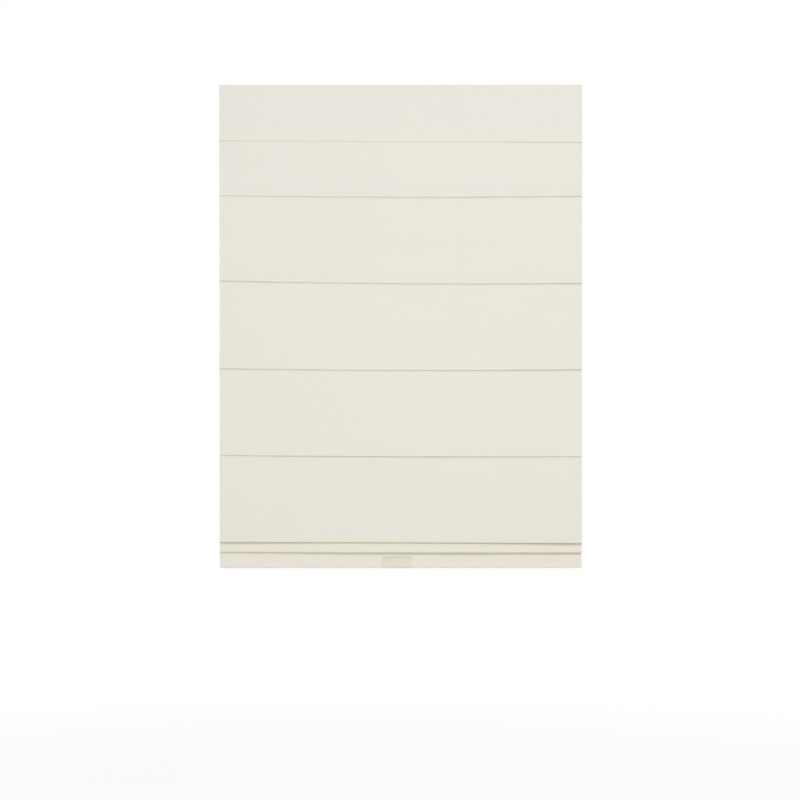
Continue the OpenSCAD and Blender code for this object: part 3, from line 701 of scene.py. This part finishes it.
def crease_sway(cloth, k):
    """Function of x: how far a crease ripples back, how far it rises and how much more it leans there."""
    lift, tilt, bow = cloth.lift[k - 1], cloth.tilt[k - 1], cloth.bow[k - 1]
    right, ends = cloth.lean_right[k - 1], cloth.lean_ends[k - 1]

    def sway(x):
        s = x / HALF_WIDTH
        depth = cloth.ripple * sum(share * math.sin(waves * s + start) for waves, start, share in RIPPLES)
        return depth, lift - tilt * s - bow * (1 - s * s), right * s + ends * s * s
    return sway


def lay_cloth(bm, rows, edges, sway, back=0.0, step=COLUMN_STEP):
    """Folds a flat grid of cloth along its rows, between two edges; UV is the place on the flat cloth."""
    uv = bm.loops.layers.uv.verify()
    fold = bm.verts.layers.float.get("fold") or bm.verts.layers.float.new("fold")
    left, right = edges
    count = max(2, round((right - left) / step))
    inner = [left + EDGE_STEP + (right - left - 2 * EDGE_STEP) * i / count for i in range(count + 1)]
    columns = [left, *inner, right]
    arc = [0.0]
    for a, b in zip(rows, rows[1:]):
        arc.append(arc[-1] + math.hypot(b.y - a.y, b.z - a.z))
    flat = {}
    grid = bmesh.ops.create_grid(bm, x_segments=len(columns) - 1, y_segments=len(rows) - 1, size=0.5)["verts"]
    for vert in grid:
        x = columns[round((vert.co.x + 0.5) * (len(columns) - 1))]
        i = round((0.5 - vert.co.y) * (len(rows) - 1))
        row = rows[i]
        # The fold attribute carries each row's share of painted shade to the material
        vert[fold] = row.fold
        depth, rise, more = sway(x)
        flat[vert] = (x, -arc[i])
        vert.co = (x, row.y + back + row.follow * depth - row.lean * more, row.z + row.follow * rise)
    for face in {face for vert in grid for face in vert.link_faces}:
        for loop in face.loops:
            loop[uv].uv = flat[loop.vert]
    return arc[-1]


def cloth_piece(context, name, parts, hem_part=None, stands_for="shade_fabric",
                short=0.0, layer=1.0):
    """Cloth from parts of rows with their sway, and side hems turned to the back of one part."""
    cloth = context.scene.blind_cloth
    bm = bmesh.new()
    edges = short - HALF_WIDTH, HALF_WIDTH - short
    length = sum(lay_cloth(bm, rows, edges, sway) for rows, sway in parts)
    bmesh.ops.remove_doubles(bm, verts=bm.verts, dist=1e-6)
    if hem_part:
        rows, sway = hem_part
        inner = HALF_WIDTH - cloth.side_hem
        for edges in ((-HALF_WIDTH, -inner), (inner, HALF_WIDTH)):
            lay_cloth(bm, rows, edges, sway, SIDE_HEM_LAYER * cloth.thickness)
    piece = new_piece(context, name, bm, "Cream weave", [stands_for])
    thicken(piece, layer * cloth.thickness)
    return piece


def no_sway(x):
    """Cloth that a rib or a rail holds straight."""
    return 0.0, 0.0, 0.0


# Stage: place and size of each lamp, the back lamp's share of the fill's watts, and the floor's fade
LAMPS = {"key": ((0.9, -3.3, 0.4), 2.4), "fill": ((-1.8, -3.2, -0.8), 2.6), "back": ((0.8, 3.0, 0.6), 2.4)}
BACK_SHARE = 1.7
FLOOR_RADIUS = 40.0
FLOOR_FADE = (0.6, 2.2)
FLOOR_NEAR, FLOOR_FAR = (0.90, 0.865, 0.75), (0.90, 0.90, 0.90)
FLOOR_WHITE = 0.88
WHITE = (1.0, 1.0, 1.0, 1.0)


def set_camera(context, stage, target):
    """Level camera whose picture is as wide as the stage says, at the cloth."""
    data = bpy.data.cameras.new("camera")
    data.lens = data.sensor_width * stage.distance / stage.view_width
    camera = put_in(context, "camera", data)
    camera.location = target - Vector((0, stage.distance, 0))
    camera.rotation_euler = (math.pi / 2, 0, 0)
    context.scene.camera = camera


def set_lamp(context, name, place, target, size, watts):
    """Square soft lamp that faces the blind."""
    data = bpy.data.lights.new(name, "AREA")
    data.size = size
    data.energy = watts
    lamp = put_in(context, name, data)
    lamp.location = place
    lamp.visible_camera = False
    lamp.rotation_euler = (target - lamp.location).to_track_quat("-Z", "Y").to_euler()


def set_sky(context, stage):
    """Even light all round, seen as white by the camera and in gloss and clear plastic."""
    world = bpy.data.worlds.new("studio")
    world.use_nodes = True
    tree = world.node_tree
    inputs = tree.nodes["Background"].inputs
    feed(tree, inputs["Color"], WHITE)
    feed(tree, inputs["Strength"], between(tree, white_rays(tree), stage.sky, 1.0))
    context.scene.world = world


def white_rays(tree):
    """1 for the rays that show the background itself."""
    rays = add(tree, "ShaderNodeLightPath").outputs
    shown = calc(tree, "MAXIMUM", rays["Is Camera Ray"], rays["Is Glossy Ray"])
    return calc(tree, "MAXIMUM", shown, rays["Is Transmission Ray"])


def lay_floor(context, stage):
    """Pale floor that takes the blind's shadow and fades into the white behind it."""
    bm = bmesh.new()
    section(bm, Matrix.Translation((0, 0, stage.floor)), 64, FLOOR_RADIUS, True)
    material, tree = new_finish("Pale floor", Roughness=0.9, Specular_IOR_Level=0.1)
    shader = tree.nodes["Principled BSDF"]
    ends = {0: place_on(tree), 1: (0.0, 0.0, stage.floor)}
    reach = add(tree, "ShaderNodeVectorMath", ends, operation="DISTANCE").outputs["Value"]
    limits = {"Value": reach, "From Min": FLOOR_FADE[0], "From Max": FLOOR_FADE[1]}
    far = add(tree, "ShaderNodeMapRange", limits, interpolation_type="SMOOTHSTEP").outputs["Result"]
    feed(tree, shader.inputs["Base Color"], blend_colours(tree, far, FLOOR_NEAR, FLOOR_FAR))
    white = calc(tree, "MULTIPLY", white_rays(tree), between(tree, far, FLOOR_WHITE, 1.0))
    glow = add(tree, "ShaderNodeEmission", {"Color": WHITE, "Strength": 1.0})
    shaders = {0: white, 1: shader.outputs["BSDF"], 2: glow.outputs["Emission"]}
    mix = add(tree, "ShaderNodeMixShader", shaders)
    feed(tree, tree.nodes["Material Output"].inputs["Surface"], mix.outputs["Shader"])
    floor = put_in(context, "floor", as_mesh("floor", bm, material))


class BLIND_OT_stage(bpy.types.Operator):
    """Sets the camera, the soft lamps, the white studio and its floor"""

    bl_idname = "blind.stage"
    bl_label = "Stage"

    def execute(self, context):
        stage = context.scene.blind_stage
        context.scene.view_settings.view_transform = "Standard"
        target = Vector(stage.view_middle) + Vector((0, wall_y(0), 0))
        set_camera(context, stage, target)
        watts = {"key": stage.key, "fill": stage.fill, "back": BACK_SHARE * stage.fill}
        for name, (place, size) in LAMPS.items():
            set_lamp(context, name, place, target, size, watts[name])
        set_sky(context, stage)
        lay_floor(context, stage)
        return {"FINISHED"}


# Lift cords: steps along their drops and the head rail, and points on each turn
DROP_STEP = 0.006
RUN_STEP = 0.04
TURN_POINTS = 20


def cord_run(fittings, side, exit_point):
    """Turns on the spool, then along the head rail, over the pulley and down its nozzle."""
    spool, pulley = middle(f"spool_{side}"), middle(f"pulley_{side}")
    hand = 1 if side == "right" else -1
    wound = -pulley.y
    over = exit_point.x * hand - pulley.x * hand
    top = pulley.z + over
    coil = []
    for i in range(TURN_POINTS * fittings.spool_turns + 1):
        left = fittings.spool_turns - i / TURN_POINTS
        angle = -math.pi / 2 - hand * 2 * math.pi * left
        drop = fittings.cord_diameter * left
        coil.append(Vector((spool.x + wound * math.cos(angle), wound * math.sin(angle), top - drop)))
    arc = [Vector((pulley.x + hand * over * math.sin(math.radians(a)), pulley.y,
                   pulley.z + over * math.cos(math.radians(a)))) for a in range(0, 91, 15)]
    return coil + drawn_between(coil[-1], arc[0], RUN_STEP)[1:-1] + arc + [exit_point]


def lay_cord(context, name, route, node, body, lower_body=None):
    """One stretch of cord, on one body or across the slide between two."""
    bm = bmesh.new()
    sweep(bm, route, context.scene.blind_fittings.cord_diameter / 2)
    bmesh.ops.recalc_face_normals(bm, faces=bm.faces)
    piece = new_piece(context, name, bm, "Braided cord", [node])
    if lower_body:
        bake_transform(piece)
    else:
        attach(piece, body)


class BLIND_OT_cords(bpy.types.Operator):
    """Threads both lift cords from their spools, over the pulleys and through the rings to the anchors"""

    bl_idname = "blind.cords"
    bl_label = "Lift cords"

    def execute(self, context):
        fittings = context.scene.blind_fittings
        for side in SIDES:
            node = f"lift_cord_{side}"
            rings = [middle(f"ring_{side}_{k}") for k in CREASES]
            exit_point = Vector((rings[0].x, middle(f"pulley_{side}").y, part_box(f"guide_{side}")[0].z))
            anchor = middle(f"cord_anchor_{side}")
            anchor_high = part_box(f"cord_anchor_{side}")[1]
            anchor.y = anchor_high.y - fittings.cord_diameter / 2 - SOCKET_WALL
            lay_cord(context, f"{node}_run", cord_run(fittings, side, exit_point), node, "head")
            stops = [exit_point] + rings
            for k in range(FOLDS):
                drop = drawn_between(stops[k], stops[k + 1], DROP_STEP)
                lay_cord(context, f"{node}_drop_{k + 1}", drop, node, BODY_CHAIN[k], BODY_CHAIN[k + 1])
            tail = drawn_between(rings[-1], Vector((anchor.x, anchor.y, anchor_high.z)), DROP_STEP)
            lay_cord(context, f"{node}_tail", tail + [anchor], node, "foot")
        return {"FINISHED"}


def clear_of_lip(cloth, k, rows):
    """Rows of a wall that lie above the tuck at its foot."""
    return [row for row in rows if row.z > crease_z(k) + cloth.tuck + ROW_STEP]


def cross_slide(piece):
    """Cloth between crease k and rib k crosses the slide between their bodies."""
    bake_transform(piece)


class BLIND_OT_cloth(bpy.types.Operator):
    """Folds the cloth into its panels, hanging creases and gathered folds"""

    bl_idname = "blind.cloth"
    bl_label = "Folded cloth"

    def execute(self, context):
        cloth = context.scene.blind_cloth
        sway = {k: crease_sway(cloth, k) for k in CREASES}
        top = front_rows(cloth, 1, CLOTH_TOP)
        hem_part = clear_of_lip(cloth, 1, top), sway[1]
        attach(cloth_piece(context, "cloth_top", [(top, sway[1])], hem_part), "head")
        for k in range(1, HANGING + 1):
            lower = front_rows(cloth, k + 1, RIB[k].z)
            parts = [(falling_rows(cloth, k), sway[k]), (lower, sway[k + 1])]
            hem_part = clear_of_lip(cloth, k + 1, lower), sway[k + 1]
            cross_slide(cloth_piece(context, f"cloth_fold_{k}", parts, hem_part))
        for k in range(HANGING + 1, FOLDS + 1):
            rising, ridge = rising_rows(cloth, k)
            piece = cloth_piece(context, f"cloth_rise_{k}", [(rising, sway[k])])
            cross_slide(piece)
            if k < FOLDS:
                falling = (front_rows(cloth, k + 1, RIB[k].z, above=k), sway[k + 1])
            else:
                falling = (hem_rows(cloth), no_sway)
            piece = cloth_piece(context, f"cloth_fall_{k}", [(ridge, no_sway), falling])
            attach(piece, BODY_CHAIN[k])
        return {"FINISHED"}


class BLIND_OT_valance(bpy.types.Operator):
    """Hangs the valance in front of the head rail"""

    bl_idname = "blind.valance"
    bl_label = "Valance"

    def execute(self, context):
        cloth = context.scene.blind_cloth

        def sway(x):
            s = x / HALF_WIDTH
            lift, tilt, bow = cloth.valance_hang
            return 0.0, lift - tilt * s - bow * (1 - s * s), s * s + VALANCE_LEAN * s
        piece = cloth_piece(context, "valance_cloth", [(valance_rows(cloth), sway)], stands_for="valance")
        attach(piece, "head")
        return {"FINISHED"}


# Rib pockets: room round the rib, where a flange starts and ends, and how far they end short of the cloth
POCKET_ROUND = 0.0006
FLANGE_START, FLANGE_END = 0.0004, 0.0045
POCKET_SHORT = 0.001


def pocket_rows(cloth, k):
    """Flange, round the back of the rib, and flange again; over the ridge where the fold is gathered."""
    radius = RIB_RADIUS + POCKET_ROUND
    sewn = wall_y(k) + cloth.thickness
    rib = RIB[k]
    angles = [math.radians(a) for a in range(125, -126, -25)]
    round_rib = [Row(rib.y + radius * math.cos(a), rib.z + radius * math.sin(a)) for a in angles]
    if k <= HANGING:
        above = [Row(sewn, rib.z + radius + out) for out in (FLANGE_END, FLANGE_START)]
    else:
        above = [Row(wall_y(k) - layer_pitch(k) / 2, rib.z + layer_pitch(k) / 2 + cloth.thickness)]
    below = [Row(sewn, rib.z - radius - out) for out in (FLANGE_START, FLANGE_END)]
    return above + round_rib + below


class BLIND_OT_pockets(bpy.types.Operator):
    """Sews a sleeve over each rib, at the back of the cloth"""

    bl_idname = "blind.pockets"
    bl_label = "Rib pockets"

    def execute(self, context):
        for k in CREASES:
            parts = [(pocket_rows(context.scene.blind_cloth, k), no_sway)]
            piece = cloth_piece(context, f"rib_pocket_{k}", parts, short=POCKET_SHORT,
                                layer=POCKET_THICKNESS)
            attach(piece, BODY_CHAIN[k])
        return {"FINISHED"}


# Stitches: half of their height and width, and where their rows lie and end
STITCH_HEIGHT, STITCH_WIDTH = 0.00022, 0.0003
POCKET_SEAM_OFF = 0.0036
SEAM_SHORT = 0.004
SIDE_SEAM_IN = 0.002
SIDE_SEAM_BELOW_RIB = 0.012
SIDE_SEAM_ABOVE_TUCK = 0.01


def stitches_across(cloth, y, levels):
    """Places of the stitches in rows across the blind, and their direction."""
    count = int(2 * (HALF_WIDTH - SEAM_SHORT) / cloth.stitch_pitch)
    columns = [(i - (count - 1) / 2) * cloth.stitch_pitch for i in range(count)]
    return [(Vector((x, y, z)), Vector((1, 0, 0))) for z in levels for x in columns]


def sew_sides(context, cloth):
    """Stitches down the side hems of the hanging panels."""
    seam_x = HALF_WIDTH - cloth.side_hem + SIDE_SEAM_IN
    for k in range(HANGING + 1):
        top = RIB[k].z - SIDE_SEAM_BELOW_RIB if k else CLOTH_TOP
        sway = crease_sway(cloth, k + 1)
        lowest = crease_z(k + 1) + cloth.tuck + SIDE_SEAM_ABOVE_TUCK
        drop = top - lip_turn(cloth, k + 1)[0].z
        stitches = []
        for hand in (-1, 1):
            depth, rise, more = sway(hand * seam_x)
            for i in range(int((top - lowest) / cloth.stitch_pitch)):
                z = top - (i + 0.5) * cloth.stitch_pitch
                follow = ease((top - z) / drop)
                leant = wall_y(k) - lean(cloth, k + 1, z) * (1 + more)
                y = leant + follow * depth + SIDE_SEAM * cloth.thickness
                stitches.append((Vector((hand * seam_x, y, z + follow * rise)), Vector((0, 0, 1))))
        label = f"fold_{k}" if k else "top"
        sew(context, f"side_stitches_{label}", stitches, BODY_CHAIN[k])


def sew(context, name, stitches, body):
    """One piece of thread for a set of stitches."""
    shape = Matrix.Diagonal((context.scene.blind_cloth.stitch / 2, STITCH_HEIGHT, STITCH_WIDTH, 1.0))
    bm = bmesh.new()
    for place, along in stitches:
        turned = Vector((1, 0, 0)).rotation_difference(along).to_matrix().to_4x4()
        bmesh.ops.create_icosphere(bm, subdivisions=1, radius=1.0,
                                   matrix=Matrix.Translation(place) @ turned @ shape)
    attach(new_piece(context, name, bm, "Sewing thread"), body)


class BLIND_OT_stitching(bpy.types.Operator):
    """Sews the rows of stitches along pockets, hems and side hems"""

    bl_idname = "blind.stitching"
    bl_label = "Stitching"

    def execute(self, context):
        cloth = context.scene.blind_cloth
        for k in CREASES:
            levels = [RIB[k].z - RIB_RADIUS - POCKET_SEAM_OFF]
            if k <= HANGING:
                levels.append(RIB[k].z + RIB_RADIUS + POCKET_SEAM_OFF)
            seam = stitches_across(cloth, wall_y(k) + POCKET_SEAM * cloth.thickness, levels)
            sew(context, f"pocket_stitches_{k}", seam, BODY_CHAIN[k])
        seam_y = wall_y(FOLDS) + BOTTOM_SEAM * cloth.thickness
        seam = stitches_across(cloth, seam_y, [HEM_TOP + HEM_PITCH + HEM_FLAP / 2])
        sew(context, "hem_stitches", seam, "foot")
        sew_sides(context, cloth)
        return {"FINISHED"}


# Ring ties: radius of the thread, room round the wire, and how the turns lie
TIE_RADIUS = 0.00028
TIE_ROUND = 0.0006
TIE_PITCH = 0.0008
TIE_SLANT = 0.12
TIE_FORWARD = 0.0004


def turn_of_thread(bm, centre, radius, slant):
    """One loop of thread round the ring's wire and the pocket's back."""
    start = Matrix.Translation(centre + Vector((0, radius, 0)))
    ring, edges = section(bm, start, 6, TIE_RADIUS, False)
    axis = Vector((1, slant, 0)).normalized()
    bmesh.ops.spin(bm, geom=ring + edges, cent=centre, axis=axis, angle=2 * math.pi, steps=20,
                   use_merge=True, use_normal_flip=False, use_duplicate=False, dvec=(0, 0, 0))


class BLIND_OT_ring_ties(bpy.types.Operator):
    """Ties each cord ring to its rib pocket with three turns of thread"""

    bl_idname = "blind.ring_ties"
    bl_label = "Ring ties"

    def execute(self, context):
        for k in CREASES:
            bm = bmesh.new()
            for side in SIDES:
                low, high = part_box(f"ring_{side}_{k}")
                wire = (high.z - low.z) / 2
                bind = Vector(((low.x + high.x) / 2, low.y + wire - TIE_FORWARD, (low.z + high.z) / 2))
                for step in (-1, 0, 1):
                    centre = bind + Vector((TIE_PITCH * step, 0, 0))
                    turn_of_thread(bm, centre, wire + TIE_ROUND, TIE_SLANT * step)
            bmesh.ops.recalc_face_normals(bm, faces=bm.faces)
            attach(new_piece(context, f"ring_ties_{k}", bm, "Sewing thread"), BODY_CHAIN[k])
        return {"FINISHED"}


# Pull tab: its walls, corners and soft edges, its gap to the hem, and how far it stops short of its solid
TAB_WALL, RIDGE_WALL, TIP_WALL, FOOT_WALL = 0.001, 0.0014, 0.0004, 0.0005
TAB_CORNER = 0.0025
TAB_EDGE = 0.0004
TAB_GAP = 0.0001
TAB_SHORT = 0.001

# Rows of the tab: steps, the ridge's foot, the back, and where the ridge, the corners and the ridge's deeper
# tint and painted shade end
TAB_COLUMN_STEP, RIDGE_STEP, BODY_STEP = 0.0008, 0.0012, 0.004
RIDGE_FOOT = (0.0005, 0.001, 0.0015)
RIDGE_END = 0.002
TAB_BACK = (0.003, 0.006, 0.009, 0.012)
CORNER_END = 0.006
RIDGE_TINT_AND_SHADE_END = 0.001


def tab_rows(context):
    """Rows down the front, round the foot and up the back, and the wall at each."""
    gap = context.scene.blind_cloth.thickness / 2 + TAB_GAP
    ridge = context.scene.blind_fittings.tab_ridge
    front, back = HEM_MIDDLE - HEM_PITCH / 2 - gap, HEM_MIDDLE + HEM_PITCH / 2 + gap
    top = TAB_HIGH.z - TAB_SHORT
    levels = [top - t for t in heights(0.0, ridge, RIDGE_STEP)]
    levels += [top - ridge - t for t in RIDGE_FOOT]
    levels += heights(top - ridge - BODY_STEP, HEM_TURN, BODY_STEP)
    # Each row's share of the ridge's deeper tint and painted shade
    down = [Row(front, z, ease((z - HEM_TURN) / CORNER_END), ease((z - top + ridge) / RIDGE_TINT_AND_SHADE_END))
            for z in levels]
    walls = [TIP_WALL] + [RIDGE_WALL if z > top - ridge - RIDGE_END else TAB_WALL for z in levels[1:]]
    foot = foot_turn(front, back, HEM_CORNER + gap)[1:]
    up = [Row(back, HEM_TURN + t) for t in TAB_BACK]
    walls += [FOOT_WALL] * len(foot) + [TAB_WALL] * len(up)
    return down + foot + up, walls


class BLIND_OT_tab(bpy.types.Operator):
    """Moulds the clear pull tab that clips round the hem"""

    bl_idname = "blind.tab"
    bl_label = "Pull tab"

    def execute(self, context):
        half, middle_x = (TAB_HIGH.x - TAB_LOW.x) / 2, (TAB_HIGH.x + TAB_LOW.x) / 2

        def corner_drop(x):
            past = max(0.0, abs(x - middle_x) - (half - TAB_CORNER))
            return 0.0, math.sqrt(max(0.0, TAB_CORNER * TAB_CORNER - past * past)) - TAB_CORNER, 0.0
        rows, walls = tab_rows(context)
        bm = bmesh.new()
        lay_cloth(bm, rows, (middle_x - half, middle_x + half), corner_drop, step=TAB_COLUMN_STEP)
        piece = new_piece(context, "pull_tab", bm, "Clear tab", ["pull_handle"])
        thick = piece.vertex_groups.new(name="wall")
        columns = len(piece.data.vertices) // len(rows)
        for vert in piece.data.vertices:
            row = len(rows) - 1 - vert.index // columns
            thick.add([vert.index], walls[row] / RIDGE_WALL, "REPLACE")
        thicken(piece, RIDGE_WALL, 1.0).vertex_group = thick.name
        edge = piece.modifiers.new("Soft edges", "BEVEL")
        edge.width = TAB_EDGE
        edge.segments = 2
        edge.limit_method = "ANGLE"
        edge.angle_limit = math.radians(50)
        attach(piece, "foot")
        return {"FINISHED"}


# Finish of each part of the frame, by the start of its name
PART_FINISHES = {"headrail_cap": "White plastic", "headrail": "Satin paint", "bracket": "Zinc plate",
                 "hook_tape": "Hook tape", "loop_tape": "Loop tape", "power_spring": "Spring steel",
                 "rib_": "Glass fibre", "ring_": "White plastic", "bottom_rail": "Mill aluminium",
                 "bottom_cap": "White plastic", "cord_anchor": "White plastic"}


class BLIND_OT_finishes(bpy.types.Operator):
    """Gives every part of the frame that shows its own finish"""

    bl_idname = "blind.finishes"
    bl_label = "Finishes"

    def execute(self, context):
        for name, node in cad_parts.items():
            found = [finish for start, finish in PART_FINISHES.items() if name.startswith(start)]
            found.append("Zinc plate" if "_pin" in name else "Moulded nylon")
            for slot in node.material_slots:
                slot.material = finish_of(context, found[0])
        return {"FINISHED"}


PIECES = (BLIND_OT_stage, BLIND_OT_cords, BLIND_OT_cloth, BLIND_OT_valance, BLIND_OT_pockets,
          BLIND_OT_stitching, BLIND_OT_ring_ties, BLIND_OT_tab, BLIND_OT_finishes)


class BLIND_PT_panel(bpy.types.Panel):
    """Lists the blind's pieces"""

    bl_idname = "BLIND_PT_panel"
    bl_label = "Roman Blind"
    bl_space_type = "VIEW_3D"
    bl_region_type = "UI"
    bl_category = "Roman Blind"

    def draw(self, context):
        for group in ("blind_cloth", "blind_fittings", "blind_stage"):
            settings = getattr(context.scene, group)
            box = self.layout.box()
            for name in settings.__annotations__:
                box.prop(settings, name)
        for piece in PIECES:
            self.layout.operator(piece.bl_idname)


SETTINGS = {"blind_cloth": BlindCloth, "blind_fittings": BlindFittings, "blind_stage": BlindStage}
CLASSES = (*SETTINGS.values(), *PIECES, BLIND_PT_panel)


def register():
    """Adds the classes and the scene's settings."""
    for cls in CLASSES:
        bpy.utils.register_class(cls)
    for name, cls in SETTINGS.items():
        setattr(bpy.types.Scene, name, PointerProperty(type=cls))


def unregister():
    """Takes the settings and the classes away."""
    for name in SETTINGS:
        delattr(bpy.types.Scene, name)
    for cls in reversed(CLASSES):
        bpy.utils.unregister_class(cls)


def main():
    """Makes every piece in order."""
    register()
    for piece in PIECES:
        area, name = piece.bl_idname.split(".")
        getattr(getattr(bpy.ops, area), name)()


if __name__ == "__main__":
    main()
